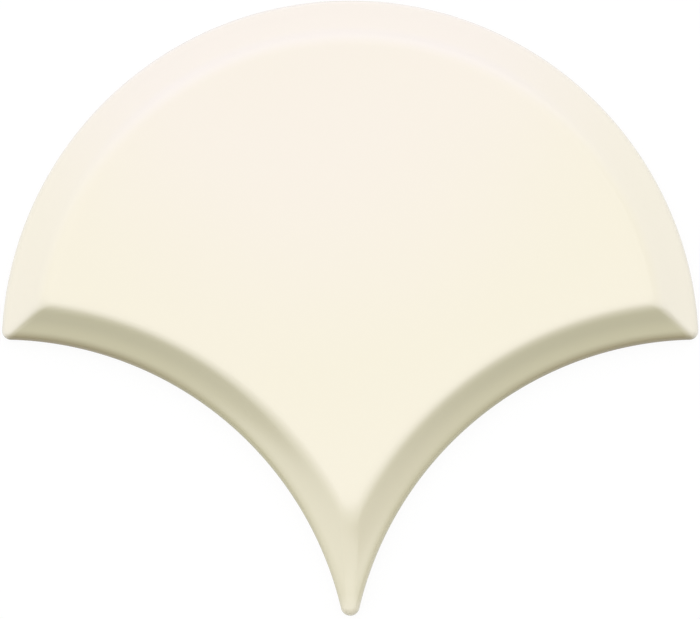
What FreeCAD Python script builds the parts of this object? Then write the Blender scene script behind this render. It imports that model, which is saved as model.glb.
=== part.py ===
import FreeCAD, Part
import math
import os
import Sketcher

# Fish scale wall tile, one pressed and glazed piece, lying on its back.
# X runs across the tile, +Y towards the round cap, +Z out of the glazed face.

# Driving sizes in millimetres
SIZES = (
    ("cap_radius", "85", "radius of the round cap, half the tile's width"),
    ("tile_height", "150", "from the top of the cap to the end of the tip"),
    ("corner_rise", "2.3", "side corners above the centre of the cap"),
    ("corner_radius", "2.2", "rounding of the side corners in plan"),
    ("tip_radius", "2.3", "rounding of the tip in plan"),
    ("face_thickness", "9", "from the back to the flat face"),
    ("edge_thickness", "5.6", "from the back to the bevel at the outline"),
    ("bevel_width", "9.3", "from the outline to the crease"),
    ("crease_radius", "12", "softening of the crease and the mitres"),
    ("rim_radius", "1.8", "rounding of the rim"),
    ("back_margin", "9", "plain border of the back"),
    ("key_depth", "0.8", "depth of the grooves between the ribs"),
    ("rib_pitch", "10", "from rib to rib"),
    ("rib_width", "4", "width of one rib"),
)
# How far the blank and the cutting shapes run past the tile
BLANK_EXTRA = 3.0
TRIM_EXTRA = 6.0
CUT_OVERRUN = 1.0
# Sweep of the cap's bevel, past both side corners but clear of the tip
CAP_SWEEP = 230.0
FULL_TURN = 360.0
TOLERANCE = 1e-6
# Share of the tightest corner that the rim's rounding may take up
RIM_LIMIT = 0.85

doc = FreeCAD.newDocument("FishScaleTile")

sheet = doc.addObject("Spreadsheet::Sheet", "Sizes")
for row, (alias, value, note) in enumerate(SIZES, start=1):
    sheet.set(f"A{row}", note)
    sheet.set(f"B{row}", value)
    sheet.setAlias(f"B{row}", alias)
doc.recompute()

body = doc.addObject("PartDesign::Body", "fish_scale_tile")
body.Label = "fish_scale_tile"

# How sketches number the points of an element and their own two axes
START, END, CENTRE = range(1, 4)
X_AXIS, Y_AXIS = range(-1, -3, -1)
ORIGIN_POINT = (X_AXIS, START)


def size(alias):
    return float(getattr(sheet, alias))


def origin_plane(role):
    return next(item for item in body.Origin.OriginFeatures if item.Role == role)


def new_sketch(name, role):
    sketch = body.newObject("Sketcher::SketchObject", name)
    sketch.AttachmentSupport = [(origin_plane(role), "")]
    sketch.MapMode = "FlatFace"
    return sketch


def new_feature(kind, name, **settings):
    feature = body.newObject(f"PartDesign::{kind}", name)
    for prop, value in settings.items():
        setattr(feature, prop, value)
    return feature


def rule(sketch, kind, *refs):
    return sketch.addConstraint(Sketcher.Constraint(kind, *refs))


def dimension(sketch, name, expression, value, kind, *refs):
    index = sketch.addConstraint(Sketcher.Constraint(kind, *refs, value))
    sketch.renameConstraint(index, name)
    sketch.setExpression(f"Constraints.{name}", expression)


def settle(feature):
    doc.recompute()
    body.Tip = feature
    doc.recompute()
    before = feature.BaseFeature.Shape.Volume if feature.BaseFeature else 0.0
    print(f"{feature.Name}: {before:.0f} to {feature.Shape.Volume:.0f} cubic mm")


def add_polyline(sketch, points):
    corners = [FreeCAD.Vector(x, y, 0) for x, y in points]
    lines = []
    for here, there in zip(corners, corners[1:]):
        lines.append(sketch.addGeometry(Part.LineSegment(here, there)))
    for line, following in zip(lines, lines[1:]):
        rule(sketch, "Coincident", line, END, following, START)
    return lines


def add_polygon(sketch, points):
    lines = add_polyline(sketch, points + points[:1])
    rule(sketch, "Coincident", lines[-1], END, lines[0], START)
    return lines


def add_arc(sketch, centre, start, end):
    circle = Part.Circle(centre, FreeCAD.Vector(0, 0, 1), centre.distanceToPoint(start))
    first = math.atan2(start.y - centre.y, start.x - centre.x)
    last = math.atan2(end.y - centre.y, end.x - centre.x)
    if last < first:
        last += 2 * math.pi
    return sketch.addGeometry(Part.ArcOfCircle(circle, first, last))


def on_circle(centre, radius, towards):
    return centre + (towards - centre).normalize() * radius


def mirrored(point):
    return FreeCAD.Vector(-point.x, point.y, 0)


# Rectangle that is even about the Y axis, from a base level upwards
def add_rectangle(sketch, across, along, base):
    half = across[1] / 2
    low, high = base[1], base[1] + along[1]
    bottom, right, top, left = add_polygon(sketch, [(-half, low), (half, low), (half, high), (-half, high)])
    rule(sketch, "Horizontal", top)
    rule(sketch, "Vertical", right)
    rule(sketch, "Vertical", left)
    rule(sketch, "Symmetric", bottom, START, bottom, END, Y_AXIS)
    dimension(sketch, "across", *across, "DistanceX", bottom, START, bottom, END)
    dimension(sketch, "along", *along, "DistanceY", right, START, right, END)
    dimension(sketch, "base", *base, "DistanceY", *ORIGIN_POINT, bottom, START)


# Rectangle around the tile
def add_frame(sketch, extra):
    across, along = 2 * size("cap_radius"), size("tile_height")
    add_rectangle(sketch,
                  (f"2 * Sizes.cap_radius + {2 * extra}", across + 2 * extra),
                  (f"Sizes.tile_height + {2 * extra}", along + 2 * extra),
                  (f"-Sizes.tile_height / 2 - {extra}", -along / 2 - extra))


# Starting points of the outline, which its sketch then holds by its own rules
cap_r = size("cap_radius")
half_height = size("tile_height") / 2
corner_r = size("corner_radius")
tip_r = size("tip_radius")
cap_centre = FreeCAD.Vector(0, half_height - cap_r, 0)
tip_centre = FreeCAD.Vector(0, tip_r - half_height, 0)
crown_level = cap_centre.y + size("corner_rise")
drop = crown_level - tip_centre.y
hollow_r = (drop ** 2 + cap_r ** 2 - tip_r ** 2) / (2 * (drop + tip_r))
hollow_centre = FreeCAD.Vector(cap_r, crown_level - hollow_r, 0)


# Point near the right corner that lies one distance inside both the cap and the hollow
def corner_point(inset):
    span = hollow_centre - cap_centre
    inner, outer = cap_r - inset, hollow_r + inset
    along = (inner ** 2 - outer ** 2 + span.Length ** 2) / (2 * span.Length)
    aside = math.sqrt(inner ** 2 - along ** 2)
    unit = FreeCAD.Vector(span).normalize()
    return cap_centre + unit * along + FreeCAD.Vector(-unit.y, unit.x, 0) * aside


# Outline: round cap, two hollows, rounded side corners and a rounded tip
outline = new_sketch("Outline", "XY_Plane")
corner_centre = corner_point(corner_r)
cap_end = on_circle(cap_centre, cap_r, corner_centre)
hollow_start = on_circle(hollow_centre, hollow_r, corner_centre)
hollow_end = on_circle(hollow_centre, hollow_r, tip_centre)
cap = add_arc(outline, cap_centre, cap_end, mirrored(cap_end))
left_corner = add_arc(outline, mirrored(corner_centre), mirrored(cap_end), mirrored(hollow_start))
left_hollow = add_arc(outline, mirrored(hollow_centre), mirrored(hollow_end), mirrored(hollow_start))
tip = add_arc(outline, tip_centre, mirrored(hollow_end), hollow_end)
right_hollow = add_arc(outline, hollow_centre, hollow_start, hollow_end)
right_corner = add_arc(outline, corner_centre, hollow_start, cap_end)
crown = outline.addGeometry(Part.Point(FreeCAD.Vector(hollow_centre.x, crown_level, 0)), True)

rule(outline, "Tangent", cap, END, left_corner, START)
rule(outline, "Tangent", left_corner, END, left_hollow, END)
rule(outline, "Tangent", left_hollow, START, tip, START)
rule(outline, "Tangent", tip, END, right_hollow, END)
rule(outline, "Tangent", right_hollow, START, right_corner, START)
rule(outline, "Tangent", right_corner, END, cap, START)
rule(outline, "PointOnObject", cap, CENTRE, Y_AXIS)
rule(outline, "PointOnObject", tip, CENTRE, Y_AXIS)
rule(outline, "Equal", left_hollow, right_hollow)
rule(outline, "Equal", left_corner, right_corner)
rule(outline, "Vertical", crown, START, right_hollow, CENTRE)
rule(outline, "PointOnObject", crown, START, right_hollow)
dimension(outline, "cap_radius", "Sizes.cap_radius", cap_r, "Radius", cap)
dimension(outline, "cap_level", "Sizes.tile_height / 2 - Sizes.cap_radius", cap_centre.y,
          "DistanceY", *ORIGIN_POINT, cap, CENTRE)
dimension(outline, "tip_radius", "Sizes.tip_radius", tip_r, "Radius", tip)
dimension(outline, "tip_level", "Sizes.tip_radius - Sizes.tile_height / 2", tip_centre.y,
          "DistanceY", *ORIGIN_POINT, tip, CENTRE)
dimension(outline, "corner_radius", "Sizes.corner_radius", corner_r, "Radius", right_corner)
dimension(outline, "hollow_right", "Sizes.cap_radius", cap_r,
          "DistanceX", *ORIGIN_POINT, right_hollow, CENTRE)
dimension(outline, "hollow_left", "Sizes.cap_radius", cap_r,
          "DistanceX", left_hollow, CENTRE, *ORIGIN_POINT)
dimension(outline, "crown_level", "Sizes.tile_height / 2 - Sizes.cap_radius + Sizes.corner_rise",
          crown_level, "DistanceY", *ORIGIN_POINT, crown, START)
# The hollow's radius follows from the rules above and is only read from here
measured = outline.addConstraint(Sketcher.Constraint("Radius", right_hollow, hollow_r))
outline.renameConstraint(measured, "hollow_radius")
outline.setDriving(measured, False)
add_frame(outline, TRIM_EXTRA)
doc.recompute()

# Blank to the thickness of the face, a little larger than the tile
blank_plan = new_sketch("BlankPlan", "XY_Plane")
add_frame(blank_plan, BLANK_EXTRA)
doc.recompute()
blank = new_feature("Pad", "Blank", Profile=blank_plan)
blank.setExpression("Length", "Sizes.face_thickness")
settle(blank)

# Recessed field of the back, inside a plain margin
margin = size("back_margin")
field_corner = corner_point(margin)
field_tip = FreeCAD.Vector(0, hollow_centre.y + math.sqrt((hollow_r + margin) ** 2 - cap_r ** 2), 0)
field_plan = new_sketch("BackFieldPlan", "XY_Plane")
field_cap = add_arc(field_plan, cap_centre, field_corner, mirrored(field_corner))
field_left = add_arc(field_plan, mirrored(hollow_centre), field_tip, mirrored(field_corner))
field_right = add_arc(field_plan, hollow_centre, field_corner, field_tip)
rule(field_plan, "Coincident", field_cap, END, field_left, END)
rule(field_plan, "Coincident", field_left, START, field_right, END)
rule(field_plan, "Coincident", field_right, START, field_cap, START)
rule(field_plan, "PointOnObject", field_cap, CENTRE, Y_AXIS)
rule(field_plan, "Equal", field_left, field_right)
rule(field_plan, "Symmetric", field_left, CENTRE, field_right, CENTRE, Y_AXIS)
dimension(field_plan, "cap_level", "Outline.Constraints.cap_level", cap_centre.y,
          "DistanceY", *ORIGIN_POINT, field_cap, CENTRE)
dimension(field_plan, "cap_radius", "Sizes.cap_radius - Sizes.back_margin", cap_r - margin,
          "Radius", field_cap)
dimension(field_plan, "hollow_level", "Outline.Constraints.crown_level - Outline.Constraints.hollow_radius",
          hollow_centre.y, "DistanceY", *ORIGIN_POINT, field_right, CENTRE)
dimension(field_plan, "hollow_right", "Sizes.cap_radius", cap_r,
          "DistanceX", *ORIGIN_POINT, field_right, CENTRE)
dimension(field_plan, "hollow_radius", "Outline.Constraints.hollow_radius + Sizes.back_margin * 1mm",
          hollow_r + margin, "Radius", field_right)
doc.recompute()
field = new_feature("Pocket", "BackField", Profile=field_plan, Reversed=True)
field.setExpression("Length", "Sizes.key_depth")
settle(field)

# Keying ribs across the back, spread both ways from the one through the middle
rib_steps = "floor((Sizes.tile_height / 2 - Sizes.back_margin) / Sizes.rib_pitch)"
rib_plan = new_sketch("RibPlan", "XY_Plane")
add_rectangle(rib_plan,
              (f"2 * Sizes.cap_radius + {2 * BLANK_EXTRA}", 2 * cap_r + 2 * BLANK_EXTRA),
              ("Sizes.rib_width", size("rib_width")),
              ("-Sizes.rib_width / 2", -size("rib_width") / 2))
doc.recompute()
rib = new_feature("Pad", "Rib", Profile=rib_plan)
rib.setExpression("Length", "Sizes.key_depth")
settle(rib)
for name, backwards in (("RibsToCap", False), ("RibsToTip", True)):
    ribs = new_feature("LinearPattern", name, Originals=[rib], Direction=(rib_plan, ["V_Axis"]),
                       Reversed=backwards)
    ribs.setExpression("Length", f"{rib_steps} * Sizes.rib_pitch")
    ribs.setExpression("Occurrences", f"{rib_steps} + 1")
    settle(ribs)


# Cutting profile of a bevel, its slope runs through the outline and through the crease
def bevel_profile(name, role, edge, far):
    sketch = new_sketch(name, role)
    low, high = -CUT_OVERRUN, size("face_thickness") + CUT_OVERRUN
    fall = (size("face_thickness") - size("edge_thickness")) / size("bevel_width")
    edge_level, crease_level = size("edge_thickness"), size("face_thickness")
    crease = edge[1] - size("bevel_width")
    foot = edge[1] + (edge_level - low) / fall
    head = crease - (high - crease_level) / fall
    slope, floor, side, roof = add_polygon(sketch, [(head, high), (foot, low),
                                                    (far[1], low), (far[1], high)])
    rule(sketch, "Horizontal", floor)
    rule(sketch, "Vertical", side)
    rule(sketch, "Horizontal", roof)
    at_edge = sketch.addGeometry(Part.Point(FreeCAD.Vector(edge[1], edge_level, 0)), True)
    at_crease = sketch.addGeometry(Part.Point(FreeCAD.Vector(crease, crease_level, 0)), True)
    rule(sketch, "PointOnObject", at_edge, START, slope)
    rule(sketch, "PointOnObject", at_crease, START, slope)
    dimension(sketch, "edge_place", edge[0], edge[1], "DistanceX", *ORIGIN_POINT, at_edge, START)
    dimension(sketch, "edge_level", "Sizes.edge_thickness", edge_level,
              "DistanceY", *ORIGIN_POINT, at_edge, START)
    dimension(sketch, "crease_inset", "Sizes.bevel_width", size("bevel_width"),
              "DistanceX", at_crease, START, at_edge, START)
    dimension(sketch, "crease_level", "Sizes.face_thickness", crease_level,
              "DistanceY", *ORIGIN_POINT, at_crease, START)
    dimension(sketch, "roof_level", f"Sizes.face_thickness + {CUT_OVERRUN}", high,
              "DistanceY", *ORIGIN_POINT, slope, START)
    dimension(sketch, "floor_level", f"-{CUT_OVERRUN}", low, "DistanceY", *ORIGIN_POINT, slope, END)
    dimension(sketch, "far_place", far[0], far[1], "DistanceX", *ORIGIN_POINT, side, START)
    return sketch


# Bevel of the cap, turned about the cap's own centre
cap_profile = bevel_profile("CapProfile", "YZ_Plane", ("Sizes.cap_radius", cap_r),
                            ("2 * Sizes.cap_radius", 2 * cap_r))
cap_profile.setExpression("AttachmentOffset.Base.x", "Outline.Constraints.cap_level")
doc.recompute()
cap_bevel = new_feature("Groove", "CapBevel", Profile=cap_profile, ReferenceAxis=(cap_profile, ["V_Axis"]),
                        Angle=CAP_SWEEP, Midplane=True)
settle(cap_bevel)

# Bevel of the right hollow, turned about the hollow's centre, and its twin on the left
hollow_profile = bevel_profile("HollowProfile", "XZ_Plane",
                               ("-Outline.Constraints.hollow_radius", -hollow_r), ("0", 0.0))
hollow_profile.setExpression("AttachmentOffset.Base.x", "Sizes.cap_radius")
hollow_profile.setExpression("AttachmentOffset.Base.z",
                             "Outline.Constraints.hollow_radius - Outline.Constraints.crown_level")
doc.recompute()
hollow_bevel = new_feature("Groove", "HollowBevel", Profile=hollow_profile,
                           ReferenceAxis=(hollow_profile, ["V_Axis"]), Angle=FULL_TURN)
settle(hollow_bevel)
hollow_bevels = new_feature("Mirrored", "HollowBevels", Originals=[hollow_bevel],
                            MirrorPlane=(origin_plane("YZ_Plane"), [""]))
settle(hollow_bevels)


# Names of the edges that lie between two faces of a group
def shared_edges(shape, group):
    names = []
    for number, edge in enumerate(shape.Edges, start=1):
        owners = [face for face in group if any(edge.isSame(item) for item in face.Edges)]
        if len(owners) == 2:
            names.append(f"Edge{number}")
    return names


# Softened crease, side mitres and tip ridge
form = hollow_bevels.Shape
bevels = [face for face in form.Faces if isinstance(face.Surface, Part.Cone)]
flat = [face for face in form.Faces if isinstance(face.Surface, Part.Plane)
        and abs(face.BoundBox.ZMin - size("face_thickness")) < TOLERANCE]
crease = new_feature("Fillet", "Crease", Base=(hollow_bevels, shared_edges(form, bevels + flat)))
crease.setExpression("Radius", "Sizes.crease_radius")
settle(crease)

# Everything outside the outline goes
trim = new_feature("Pocket", "Trim", Profile=outline, Type="ThroughAll", Reversed=True)
settle(trim)

# Rounded rim, a profile that touches the wall and the bevel and follows the outline
rim_rule = f"min(Sizes.rim_radius; {RIM_LIMIT} * min(Sizes.corner_radius; Sizes.tip_radius))"
rim_r = min(size("rim_radius"), RIM_LIMIT * min(corner_r, tip_r))
tilt = math.atan2(size("face_thickness") - size("edge_thickness"), size("bevel_width"))
touch_inset = rim_r * (1 - math.sin(tilt))
touch_level = size("edge_thickness") + touch_inset * math.tan(tilt)
foot_level = touch_level - rim_r * math.cos(tilt)
roof_level = size("face_thickness")
rim_plan = new_sketch("RimPlan", "YZ_Plane")
rim_plan.setExpression("AttachmentOffset.Base.x", "Sizes.tile_height / 2")
rise, roof, side, shelf = add_polyline(rim_plan, [(-touch_inset, touch_level), (-touch_inset, roof_level),
                                                  (CUT_OVERRUN, roof_level), (CUT_OVERRUN, foot_level),
                                                  (0, foot_level)])
rounding = add_arc(rim_plan, FreeCAD.Vector(-rim_r, foot_level, 0), FreeCAD.Vector(0, foot_level, 0),
                   FreeCAD.Vector(-touch_inset, touch_level, 0))
bevel_line = rim_plan.addGeometry(Part.LineSegment(
    FreeCAD.Vector(0, size("edge_thickness"), 0),
    FreeCAD.Vector(-size("bevel_width"), size("face_thickness"), 0)), True)
rule(rim_plan, "Coincident", shelf, END, rounding, START)
rule(rim_plan, "Coincident", rounding, END, rise, START)
rule(rim_plan, "Vertical", rise)
rule(rim_plan, "Horizontal", roof)
rule(rim_plan, "Vertical", side)
rule(rim_plan, "Horizontal", shelf)
rule(rim_plan, "PointOnObject", bevel_line, START, Y_AXIS)
rule(rim_plan, "Tangent", rounding, START, Y_AXIS)
rule(rim_plan, "Tangent", rounding, END, bevel_line)
dimension(rim_plan, "rim_radius", rim_rule, rim_r, "Radius", rounding)
dimension(rim_plan, "edge_level", "Sizes.edge_thickness", size("edge_thickness"),
          "DistanceY", *ORIGIN_POINT, bevel_line, START)
dimension(rim_plan, "crease_level", "Sizes.face_thickness", size("face_thickness"),
          "DistanceY", *ORIGIN_POINT, bevel_line, END)
dimension(rim_plan, "crease_inset", "Sizes.bevel_width", size("bevel_width"),
          "DistanceX", bevel_line, END, bevel_line, START)
dimension(rim_plan, "roof_level", "Sizes.face_thickness", roof_level,
          "DistanceY", *ORIGIN_POINT, roof, START)
dimension(rim_plan, "side_place", f"{CUT_OVERRUN}", CUT_OVERRUN,
          "DistanceX", *ORIGIN_POINT, side, START)
doc.recompute()
arcs = [f"Edge{number}" for number, edge in enumerate(outline.Shape.Edges, start=1)
        if isinstance(edge.Curve, Part.Circle)]
rim = new_feature("SubtractivePipe", "Rim", Profile=rim_plan, Spine=(outline, arcs))
settle(rim)

for item in doc.Objects:
    if "Invalid" in item.State or "Error" in item.State:
        raise RuntimeError(f"{item.Name} did not build: {item.getStatusString()}")
tile = body.Shape
if tile.isNull() or not tile.isValid() or len(tile.Solids) != 1:
    raise RuntimeError("the tile is not one sound solid")
box = tile.optimalBoundingBox(True, False)
print(f"tile {box.XLength:.2f} by {box.YLength:.2f} by {box.ZLength:.2f} mm, {len(tile.Faces)} faces")

os.makedirs("parts", exist_ok=True)
tile.exportStep(f"parts/{body.Label}.step")
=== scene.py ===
import math

import bmesh
import bpy
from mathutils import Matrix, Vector


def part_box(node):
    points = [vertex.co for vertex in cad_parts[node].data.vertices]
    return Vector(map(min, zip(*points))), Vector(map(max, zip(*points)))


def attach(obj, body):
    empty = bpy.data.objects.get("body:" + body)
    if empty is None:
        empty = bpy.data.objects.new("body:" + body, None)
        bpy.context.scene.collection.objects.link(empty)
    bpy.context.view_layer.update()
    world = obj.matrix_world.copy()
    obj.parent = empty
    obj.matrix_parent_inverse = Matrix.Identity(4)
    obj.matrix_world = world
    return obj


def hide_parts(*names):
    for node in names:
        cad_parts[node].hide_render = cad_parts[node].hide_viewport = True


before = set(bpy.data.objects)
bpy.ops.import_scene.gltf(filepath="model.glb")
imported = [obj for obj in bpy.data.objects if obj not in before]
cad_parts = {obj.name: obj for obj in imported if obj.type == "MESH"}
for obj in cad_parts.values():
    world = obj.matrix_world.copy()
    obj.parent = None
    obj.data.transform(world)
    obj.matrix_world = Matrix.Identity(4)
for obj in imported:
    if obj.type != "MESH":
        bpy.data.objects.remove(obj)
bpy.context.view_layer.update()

mm = 0.001  # the frame is in metres
upAxis = Vector((0, 0, 1))
print("frame loaded with", sorted(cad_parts))


# the tile, its height and thickness come from the frame
tile = {
    "node": "fish_scale_tile",
    "body": "root",
    "slot": "glaze",
    "capRadius": 85 * mm,
    "cornerRise": 2.3 * mm,  # top of the hollows above the middle of the cap
    "cornerRadius": 2.2 * mm,
    "tipRadius": 2.3 * mm,
    "edgeLevel": 5.6 * mm,  # height of the bevel's line at the outline
    "bevelWidth": 9.3 * mm,
    "creaseRadius": 12 * mm,
    "rimRadius": 1.8 * mm,
    "cove": 0.15 * mm,  # how far the bevel sinks between rim and crease
    "softMitre": 2.2 * mm,  # rounding of the side mitres in plan, at the crease
    "softRidge": 3.2 * mm,  # the same for the ridge towards the tip
    "leastMitre": 0.9 * mm,  # least rounding of both, just inside the rim
    "leastRidge": 1.2 * mm,
    "arris": 0.5 * mm,  # worn edge round the back
    "backMargin": 9 * mm,
    "backRound": 0.8 * mm,
    "grooveDepth": 0.8 * mm,
    "grooveDraft": 0.35 * mm,
    "ribPitch": 10 * mm,
    "ribWidth": 4 * mm,
    "leastGroove": 4 * mm * mm,  # smaller groove ends stay filled
    "flatMargin": 1.2 * mm,  # ring that keeps the flat face level right up to the crease
    "capSteps": 168,
    "hollowSteps": 88,
    "cornerSteps": 18,
    "tipSteps": 20,
    "rimRings": 9,
    "bevelRings": 9,
    "creaseRings": 14,
    "sharpAngle": math.radians(32),
}
tileLow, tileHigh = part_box(tile["node"])
capCentre = Vector((0, tileHigh.y - tile["capRadius"], 0))
crownLevel = capCentre.y + tile["cornerRise"]
crownDrop = crownLevel - tileLow.y - tile["tipRadius"]
hollowRadius = ((crownDrop ** 2 + tile["capRadius"] ** 2 - tile["tipRadius"] ** 2)
                / (2 * (crownDrop + tile["tipRadius"])))
hollowCentre = Vector((tile["capRadius"], crownLevel - hollowRadius, 0))


def flipped(point):
    return Vector((-point.x, point.y, point.z))


def onCircle(centre, radius, towards):
    return centre + (towards - centre).normalized() * radius


# point near the right corner that is one distance inside both the cap and the hollow
def cornerPoint(inset):
    span = hollowCentre - capCentre
    inner = tile["capRadius"] - inset
    outer = hollowRadius + inset
    along = (inner ** 2 - outer ** 2 + span.length ** 2) / (2 * span.length)
    aside = math.sqrt(inner ** 2 - along ** 2)
    unit = span.normalized()
    return capCentre + unit * along + upAxis.cross(unit) * aside


# point on the middle line that is one distance inside both hollows
def tipPoint(inset):
    rise = math.sqrt((hollowRadius + inset) ** 2 - hollowCentre.x ** 2)
    return Vector((0, hollowCentre.y + rise, 0))


def easeBetween(low, high, value):
    share = min(max((value - low) / (high - low), 0), 1)
    return share * share * (3 - 2 * share)


# plan rounding at an inset: it shrinks across the rim and grows towards the crease
def planRound(inset, atEdge, least, atCrease):
    grown = easeBetween(0, tile["bevelWidth"], inset)
    return atCrease * grown + max(atEdge - inset, least) * (1 - grown)


def signedTurn(centre, here, there):
    first = here - centre
    last = there - centre
    return math.atan2(first.x * last.y - first.y * last.x, first.x * last.x + first.y * last.y)


# closed loop of six arcs that run into each other, added to the tile's mesh
def outlineRing(bm, inset, level, cornerRound=None, tipRound=None):
    if cornerRound is None:
        cornerRound = planRound(inset, tile["cornerRadius"], tile["leastMitre"], tile["softMitre"])
    if tipRound is None:
        tipRound = planRound(inset, tile["tipRadius"], tile["leastRidge"], tile["softRidge"])
    corner = cornerPoint(inset + cornerRound)
    tip = tipPoint(inset + tipRound)
    capEnd = onCircle(capCentre, tile["capRadius"] - inset, corner)
    hollowTop = onCircle(hollowCentre, hollowRadius + inset, corner)
    hollowFoot = onCircle(hollowCentre, hollowRadius + inset, tip)
    arcs = (
        (capCentre, capEnd, flipped(capEnd), tile["capSteps"]),
        (flipped(corner), flipped(capEnd), flipped(hollowTop), tile["cornerSteps"]),
        (flipped(hollowCentre), flipped(hollowTop), flipped(hollowFoot), tile["hollowSteps"]),
        (tip, flipped(hollowFoot), hollowFoot, tile["tipSteps"]),
        (hollowCentre, hollowFoot, hollowTop, tile["hollowSteps"]),
        (corner, hollowTop, capEnd, tile["cornerSteps"]),
    )
    sketch = bmesh.new()
    first = sketch.verts.new(capEnd + upAxis * level)
    pen = first
    for centre, start, end, steps in arcs:
        swept = bmesh.ops.spin(sketch, geom=[pen], cent=centre, axis=upAxis, steps=steps,
                               angle=signedTurn(centre, start, end))
        pen = swept["geom_last"][0]
    bmesh.ops.weld_verts(sketch, targetmap={pen: first})
    ringMesh = bpy.data.meshes.new("ring")
    sketch.to_mesh(ringMesh)
    sketch.free()
    vertCount, edgeCount = len(bm.verts), len(bm.edges)
    bm.from_mesh(ringMesh)
    bpy.data.meshes.remove(ringMesh)
    bm.verts.ensure_lookup_table()
    bm.edges.ensure_lookup_table()
    insetLayer = bm.verts.layers.float["inset"]
    hollowLayer = bm.verts.layers.float["hollowSide"]
    for vert in bm.verts[vertCount:]:
        fromCap = tile["capRadius"] - (vert.co - capCentre).xy.length - inset
        vert[insetLayer] = inset
        vert[hollowLayer] = easeBetween(0, tile["softMitre"], fromCap)
    return bm.edges[edgeCount:]


# section of the glazed side as pairs of inset and level, from the back's edge to the flat face
def tileSection():
    slope = math.atan2(tileHigh.z - tile["edgeLevel"], tile["bevelWidth"])
    rim = tile["rimRadius"]
    rimInset = rim * (1 - math.sin(slope))
    rimLevel = tile["edgeLevel"] + rimInset * math.tan(slope)
    footLevel = rimLevel - rim * math.cos(slope)
    bend = tile["creaseRadius"]
    bendStart = tile["bevelWidth"] - bend * math.tan(slope / 2) * math.cos(slope)
    bendEnd = tile["bevelWidth"] + bend * math.tan(slope / 2)
    worn = tile["arris"]
    halfway = worn * (1 - math.sqrt(0.5))
    section = [(worn, 0), (halfway, halfway), (0, worn), (0, footLevel / 2)]
    for step in range(tile["rimRings"]):
        turn = (math.pi / 2 - slope) * step / tile["rimRings"]
        section.append((rim * (1 - math.cos(turn)), footLevel + rim * math.sin(turn)))
    for step in range(tile["bevelRings"]):
        share = step / tile["bevelRings"]
        inset = rimInset + (bendStart - rimInset) * share
        sunk = tile["cove"] * math.sin(math.pi * share)
        section.append((inset, tile["edgeLevel"] + inset * math.tan(slope) - sunk))
    for step in range(tile["creaseRings"] + 1):
        turn = slope * (1 - step / tile["creaseRings"])
        section.append((bendEnd - bend * math.sin(turn), tileHigh.z - bend * (1 - math.cos(turn))))
    return section


# ribbed back: a plain margin round a field whose grooves are pressed in between the ribs
def ribBack(bm, edgeRing):
    lift = upAxis * tile["grooveDepth"]  # loops in one plane would be bridged the wrong way round
    fieldRing = outlineRing(bm, tile["backMargin"], lift.z, tile["backRound"], tile["backRound"])
    bmesh.ops.bridge_loops(bm, edges=edgeRing + fieldRing)
    fieldVerts = list({vert for edge in fieldRing for vert in edge.verts})
    bmesh.ops.translate(bm, verts=fieldVerts, vec=-lift)
    field = bmesh.ops.contextual_create(bm, geom=fieldRing)["faces"]
    for face in field:
        if face.normal.z > 0:
            face.normal_flip()
    steps = math.ceil(tileHigh.y / tile["ribPitch"])
    for step in range(-steps, steps + 1):
        for side in (-1, 1):
            level = step * tile["ribPitch"] + side * tile["ribWidth"] / 2
            parts = {item for face in field for item in (face, *face.edges, *face.verts)}
            cut = bmesh.ops.bisect_plane(bm, geom=list(parts), plane_co=(0, level, 0),
                                         plane_no=(0, 1, 0))
            field = [item for item in cut["geom"] if isinstance(item, bmesh.types.BMFace)]
    halfGroove = (tile["ribPitch"] - tile["ribWidth"]) / 2
    grooves = []
    for face in field:
        fromGroove = abs(face.calc_center_bounds().y % tile["ribPitch"] - tile["ribPitch"] / 2)
        if fromGroove < halfGroove and face.calc_area() > tile["leastGroove"]:
            grooves.append(face)
    bmesh.ops.inset_individual(bm, faces=grooves, thickness=tile["grooveDraft"],
                               depth=-tile["grooveDepth"], use_even_offset=True)
    return len(grooves)


def makeTile():
    bm = bmesh.new()
    bm.verts.layers.float.new("inset")
    bm.verts.layers.float.new("hollowSide")
    rings = [outlineRing(bm, inset, level) for inset, level in tileSection()]
    for ring, following in zip(rings, rings[1:]):
        bmesh.ops.bridge_loops(bm, edges=ring + following)
    flat = bmesh.ops.contextual_create(bm, geom=rings[-1])["faces"]
    bmesh.ops.inset_region(bm, faces=flat, thickness=tile["flatMargin"], use_even_offset=True)
    grooveCount = ribBack(bm, rings[0])
    bmesh.ops.recalc_face_normals(bm, faces=bm.faces)
    for face in bm.faces:
        face.smooth = True
    for edge in bm.edges:
        edge.smooth = edge.calc_face_angle(0) < tile["sharpAngle"]
    mesh = bpy.data.meshes.new("tile")
    bm.to_mesh(mesh)
    bm.free()
    piece = bpy.data.objects.new("glazedTile", mesh)
    bpy.context.scene.collection.objects.link(piece)
    print("tile modelled:", len(rings), "rings,", grooveCount, "grooves,", len(mesh.polygons), "faces")
    return piece


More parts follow.
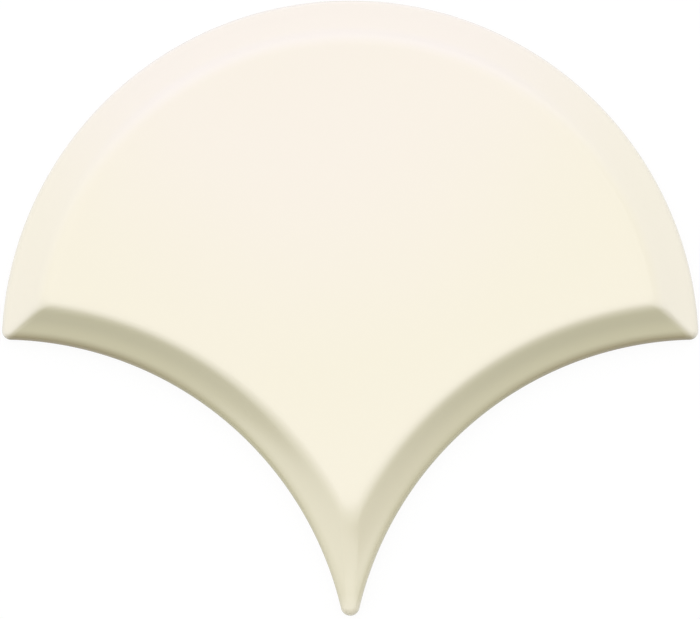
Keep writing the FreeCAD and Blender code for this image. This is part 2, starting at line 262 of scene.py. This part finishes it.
# one output of a node tree: sums and products of wires add Math nodes
class Wire:
    def __init__(self, tree, socket=None):
        self.tree = tree
        self.socket = socket

    # any node: its settings first, then values or wires for its sockets
    def node(self, kind, settings=None, sockets=None, output=0):
        made = self.tree.nodes.new(kind)
        for name, value in (settings or {}).items():
            setattr(made, name, value)
        for name, value in (sockets or {}).items():
            if isinstance(value, Wire):
                self.tree.links.new(value.socket, made.inputs[name])
            else:
                made.inputs[name].default_value = value
        return Wire(self.tree, made.outputs[output] if len(made.outputs) else None)

    def maths(self, operation, first, second):
        return self.node("ShaderNodeMath", {"operation": operation}, {0: first, 1: second})

    def __add__(self, other):
        return self.maths("ADD", self, other)

    def __radd__(self, other):
        return self.maths("ADD", other, self)

    def __sub__(self, other):
        return self.maths("SUBTRACT", self, other)

    def __rsub__(self, other):
        return self.maths("SUBTRACT", other, self)

    def __mul__(self, other):
        return self.maths("MULTIPLY", self, other)

    def __rmul__(self, other):
        return self.maths("MULTIPLY", other, self)

    def measure(self, operation, first, second):
        return self.node("ShaderNodeVectorMath", {"operation": operation},
                         {0: first, 1: second}, "Value")

    # sockets 6 and 7 of a Mix node are its colours, and output 2 is the mixed one
    def mixed(self, factor, first, second, blend="MIX"):
        return self.node("ShaderNodeMix", {"data_type": "RGBA", "blend_type": blend},
                         {0: factor, 6: first, 7: second}, 2)

    def tinted(self, factor, colour, tint):
        return self.mixed(factor, colour, tint, "MULTIPLY")

    # smooth step from 0 at a span's first value to 1 at its second, either way round
    def eased(self, span, value):
        return self.node("ShaderNodeMapRange", {"interpolation_type": "SMOOTHSTEP"},
                         {"Value": value, "From Min": span[0], "From Max": span[1]})

    def noise(self, place, grain, detail=2.0):
        return self.node("ShaderNodeTexNoise", {},
                         {"Vector": place, "Scale": 1 / grain, "Detail": detail})


def newMaterial(name):
    material = bpy.data.materials.new(name)
    material.use_nodes = True
    material.node_tree.nodes.clear()
    return material, Wire(material.node_tree)


# glaze over a bare biscuit body: each span runs from where a tint starts to where it is full
glaze = {
    "cream": (0.82, 0.755, 0.665, 1),
    "litPlace": (-10 * mm, 75 * mm, 0),  # painted light: palest here, at the top of the cap, where the light comes from
    # painted shade: the darker, yellower cream away from the lit top of the cap
    "creamShaded": (0.805, 0.755, 0.61, 1),
    "shadeSpan": (36 * mm, 96 * mm),  # distance from that place, over which the cream is painted darker and yellower
    "creamDrift": 0.3,
    "driftGrain": 45 * mm,
    "noiseMiddle": 0.5,

    # painted light on the cap side: paler over its bevel, which faces the light, a painted highlight
    # over the crease at its top, and paler along its rim, against the shade of the steep edge
    "capBevelLight": (1, 1.005, 1.05, 1),
    "creaseHighlight": (1, 1.005, 1.045, 1),
    "creaseRise": (6 * mm, 8.5 * mm),  # insets
    "creaseFall": (11.4 * mm, 9 * mm),
    "capRimLight": (1.04, 1.055, 1.09, 1),
    "capRimSpan": (1 * mm, 0.1 * mm),

    # painted shade: darker over the hollows' bevel, which faces away from the light
    "cornerShade": (0.735, 0.74, 0.64, 1),
    "tipShade": (0.885, 0.885, 0.825, 1),
    "tipSpan": (-3 * mm, -60 * mm),  # from the corners down to the tip
    "endSpan": (-74 * mm, -69 * mm),  # the very tip is left out
    "bevelSpan": (10.3 * mm, 7.3 * mm),  # insets
    "creaseShade": (0.93, 0.93, 0.935, 1),  # painted shade, deepest below the crease, near the corners
    "creaseShadeSpan": (3 * mm, 6 * mm),

    # painted shade: a dark line along the hollows' rim, which faces away from the light
    "cornerRimShade": (0.58, 0.525, 0.45, 1),
    "tipRimShade": (0.825, 0.825, 0.75, 1),
    "rimSpan": (-4 * mm, -32 * mm),  # from the corners downwards
    "rimBandSpan": (2.7 * mm, 0.1 * mm),  # insets
    "rimFade": 0.5,  # share of the line that is lost at the tip
    "fadeSpan": (-46 * mm, -68 * mm),
    "wallSpan": (2.2 * mm, 4.4 * mm),  # height on the side wall where the tints set in

    # bare body below a wandering line on the side wall
    "runLevel": 1.6 * mm,
    "runWander": 1.4 * mm,
    "runSpan": (0, 0.3 * mm),
    "runGrain": 5 * mm,
    "runDetail": 3.0,
    "biscuit": (0.74, 0.63, 0.50, 1),
    "biscuitPale": (0.80, 0.71, 0.59, 1),
    "paleSpan": (0.3, 0.7),
    "grit": (0.45, 0.36, 0.27, 1),
    "gritShare": 0.25,
    "gritSpan": (0.55, 0.7),
    "gritGrain": 0.5 * mm,
    "gritDetail": 4.0,

    # roughness and relief
    "gloss": 0.09,
    "speckGloss": 0.05,
    "speckGrain": 0.7 * mm,
    "thinGloss": 0.08,
    "matt": 0.78,
    "waveHeight": 0.02 * mm,
    "waveGrain": 14 * mm,
    "peelHeight": 0.002 * mm,
    "peelGrain": 1.6 * mm,
    "gritHeight": 0.12 * mm,
    "ior": 1.65,
}


def creamColour(wire, place, height, inset, rimBand):
    along = wire.node("ShaderNodeSeparateXYZ", {}, {0: place}, "Y")
    hollowSide = wire.node("ShaderNodeAttribute", {"attribute_name": "hollowSide"}, output="Fac")
    capSide = 1 - hollowSide
    onBevel = wire.eased(glaze["bevelSpan"], inset)
    upWall = wire.eased(glaze["wallSpan"], height)

    # painted light: the cream is paler towards the top of the cap and darker away from it, with random
    # drift in tone
    away = wire.measure("DISTANCE", place, glaze["litPlace"])
    drift = wire.noise(place, glaze["driftGrain"]) - glaze["noiseMiddle"]
    shadeAndDrift = wire.eased(glaze["shadeSpan"], away) + glaze["creamDrift"] * drift
    cream = wire.mixed(shadeAndDrift, glaze["cream"], glaze["creamShaded"])

    # painted light on the cap side: a paler bevel, a painted highlight along the crease's top and a
    # paler rim
    onCrease = wire.eased(glaze["creaseRise"], inset) * wire.eased(glaze["creaseFall"], inset)
    onCapRim = wire.eased(glaze["capRimSpan"], inset) * upWall
    cream = wire.tinted(onBevel * capSide, cream, glaze["capBevelLight"])
    cream = wire.tinted(onCrease * capSide * (1 - shadeAndDrift), cream, glaze["creaseHighlight"])
    cream = wire.tinted(onCapRim * capSide, cream, glaze["capRimLight"])

    # painted shade over the hollows' bevel, deepest below the crease near the corners
    hollowFace = hollowSide * upWall
    towardsTip = wire.eased(glaze["tipSpan"], along)
    aboveEnd = wire.eased(glaze["endSpan"], along)
    bevelShade = wire.mixed(towardsTip, glaze["cornerShade"], glaze["tipShade"])
    belowCrease = wire.eased(glaze["creaseShadeSpan"], inset) * onBevel * (1 - towardsTip)
    cream = wire.tinted(onBevel * hollowFace * aboveEnd, cream, bevelShade)
    cream = wire.tinted(belowCrease * hollowFace, cream, glaze["creaseShade"])

    # painted shade: a dark line along the hollows' rim
    downRim = wire.eased(glaze["rimSpan"], along)
    rimShade = wire.mixed(downRim, glaze["cornerRimShade"], glaze["tipRimShade"])
    rimShare = 1 - glaze["rimFade"] * wire.eased(glaze["fadeSpan"], along)
    return wire.tinted(rimBand * hollowFace * rimShare, cream, rimShade)


def biscuitColour(wire, wander, grit):
    pale = wire.eased(glaze["paleSpan"], wander)
    gritty = wire.eased(glaze["gritSpan"], grit) * glaze["gritShare"]
    body = wire.mixed(pale, glaze["biscuit"], glaze["biscuitPale"])
    return wire.mixed(gritty, body, glaze["grit"])


def glazeMaterial():
    material, wire = newMaterial("creamGlaze")
    place = wire.node("ShaderNodeTexCoord", output="Object")
    height = wire.node("ShaderNodeSeparateXYZ", {}, {0: place}, "Z")
    inset = wire.node("ShaderNodeAttribute", {"attribute_name": "inset"}, output="Fac")
    # band along the rim: it carries the painted shade line of the hollows' rim and a rougher glaze
    rimBand = wire.eased(glaze["rimBandSpan"], inset)
    speck = wire.noise(place, glaze["speckGrain"])
    wave = wire.noise(place, glaze["waveGrain"])
    peel = wire.noise(place, glaze["peelGrain"])
    grit = wire.noise(place, glaze["gritGrain"], glaze["gritDetail"])
    wander = wire.noise(place, glaze["runGrain"], glaze["runDetail"])
    runLine = glaze["runLevel"] + glaze["runWander"] * (wander - glaze["noiseMiddle"])
    glazed = wire.eased(glaze["runSpan"], height - runLine)

    cream = creamColour(wire, place, height, inset, rimBand)
    colour = wire.mixed(glazed, biscuitColour(wire, wander, grit), cream)
    gloss = glaze["gloss"] + glaze["speckGloss"] * speck + glaze["thinGloss"] * rimBand
    roughness = glaze["matt"] + glazed * (gloss - glaze["matt"])

    smooth = wave * glaze["waveHeight"] + peel * glaze["peelHeight"]
    rough = grit * glaze["gritHeight"]
    relief = glazed * smooth + (1 - glazed) * rough
    bump = wire.node("ShaderNodeBump", {}, {"Strength": 1.0, "Distance": 1.0, "Height": relief})
    shader = wire.node("ShaderNodeBsdfPrincipled", {}, {
        "Base Color": colour, "Roughness": roughness, "Normal": bump, "IOR": glaze["ior"]})
    wire.node("ShaderNodeOutputMaterial", {}, {"Surface": shader})
    return material


glazedTile = makeTile()
glazedTile.data.materials.append(glazeMaterial())
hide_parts(tile["node"])
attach(glazedTile, tile["body"])
print("tile glazed")


# pale floor inside a bright tent that is open towards the tip
studio = {
    "white": (1, 1, 1, 1),
    "floorSize": 60.0,
    "floorLevel": -0.05 * mm,
    "floorColour": (0.6, 0.6, 0.6, 1),
    "floorWhite": 1.08,
    "floorGlow": 0.84,  # share of that plain white in what the camera sees
    "tent": 1.37,  # brightness of the tent's wall
    "tentSide": math.radians(101),  # bearing of its closed side
    "tentFade": 0.3,  # how much dimmer the wall is on that side
    "openSpan": (-0.42, -0.30),  # where it opens, on a scale of -1 to 1 towards that side
    "openShare": 0.15,  # light that still comes from the open side
    "horizon": (0.08, 0.16),  # rise over which the wall follows on a plain white horizon
    "arc": 0.6,  # brighter arc of lamps above the cap
    "arcOuter": (0.80, 0.90),  # rises at its two edges
    "arcInner": (0.97, 0.92),
    "arcSide": (0.0, 0.3),
    "softboxPlace": (-0.05, 0.1, 2.2),
    "softboxSize": 1.4,
    "softboxPower": 3.0,
}


def makeFloor():
    bm = bmesh.new()
    bmesh.ops.create_grid(bm, x_segments=1, y_segments=1, size=studio["floorSize"] / 2)
    mesh = bpy.data.meshes.new("floor")
    bm.to_mesh(mesh)
    bm.free()
    floor = bpy.data.objects.new("paleFloor", mesh)
    floor.location.z = studio["floorLevel"]
    bpy.context.scene.collection.objects.link(floor)
    material, wire = newMaterial("paleFloor")
    rays = ("Is Camera Ray", "Is Glossy Ray", "Is Transmission Ray")
    seen = sum(wire.node("ShaderNodeLightPath", output=ray) for ray in rays)
    plain = wire.node("ShaderNodeBsdfDiffuse", {}, {"Color": studio["floorColour"]})
    white = wire.node("ShaderNodeEmission", {},
                      {"Color": studio["white"], "Strength": studio["floorWhite"]})
    surface = wire.node("ShaderNodeMixShader", {},
                        {0: seen * studio["floorGlow"], 1: plain, 2: white})
    wire.node("ShaderNodeOutputMaterial", {}, {"Surface": surface})
    mesh.materials.append(material)


def makeTent():
    world = bpy.data.worlds.new("tent")
    world.use_nodes = True
    world.node_tree.nodes.clear()
    bpy.context.scene.world = world
    wire = Wire(world.node_tree)
    way = wire.node("ShaderNodeTexCoord", output="Generated")
    closedSide = (math.cos(studio["tentSide"]), math.sin(studio["tentSide"]), 0)
    towards = wire.measure("DOT_PRODUCT", way, closedSide)
    closed = wire.eased(studio["openSpan"], towards)
    cover = studio["openShare"] + (1 - studio["openShare"]) * closed
    wall = studio["tent"] * (1 - studio["tentFade"] * towards) * cover
    rise = wire.node("ShaderNodeSeparateXYZ", {}, {0: way}, "Z")
    upward = wire.eased(studio["horizon"], rise)
    arc = wire.eased(studio["arcOuter"], rise) * wire.eased(studio["arcInner"], rise)
    arc = studio["arc"] * arc * wire.eased(studio["arcSide"], towards)
    glow = wall * upward + (1 - upward) + arc
    sky = wire.node("ShaderNodeBackground", {}, {"Color": studio["white"], "Strength": glow})
    wire.node("ShaderNodeOutputWorld", {}, {"Surface": sky})


def makeSoftbox():
    softbox = bpy.data.lights.new("softbox", "AREA")
    softbox.shape = "DISK"
    softbox.size = studio["softboxSize"]
    softbox.energy = studio["softboxPower"]
    holder = bpy.data.objects.new("softbox", softbox)
    holder.location = studio["softboxPlace"]
    holder.rotation_euler = (-holder.location).to_track_quat("-Z", "Y").to_euler()
    holder.visible_camera = False
    bpy.context.scene.collection.objects.link(holder)


# camera straight above the tile, with the cap at the top of the picture
view = {
    "distance": 1.4,  # above the rim
    "pictureWidth": 170.5 * mm,  # what the picture spans at the rim
    "place": (-0.05 * mm, -0.33 * mm),
}


def makeCamera():
    camera = bpy.data.cameras.new("camera")
    camera.lens = camera.sensor_width * view["distance"] / view["pictureWidth"]
    holder = bpy.data.objects.new("camera", camera)
    holder.location = (*view["place"], tile["edgeLevel"] + view["distance"])
    bpy.context.scene.collection.objects.link(holder)
    bpy.context.scene.camera = holder


makeFloor()
makeTent()
makeSoftbox()
makeCamera()
bpy.context.scene.view_settings.view_transform = "Standard"
print("studio ready")
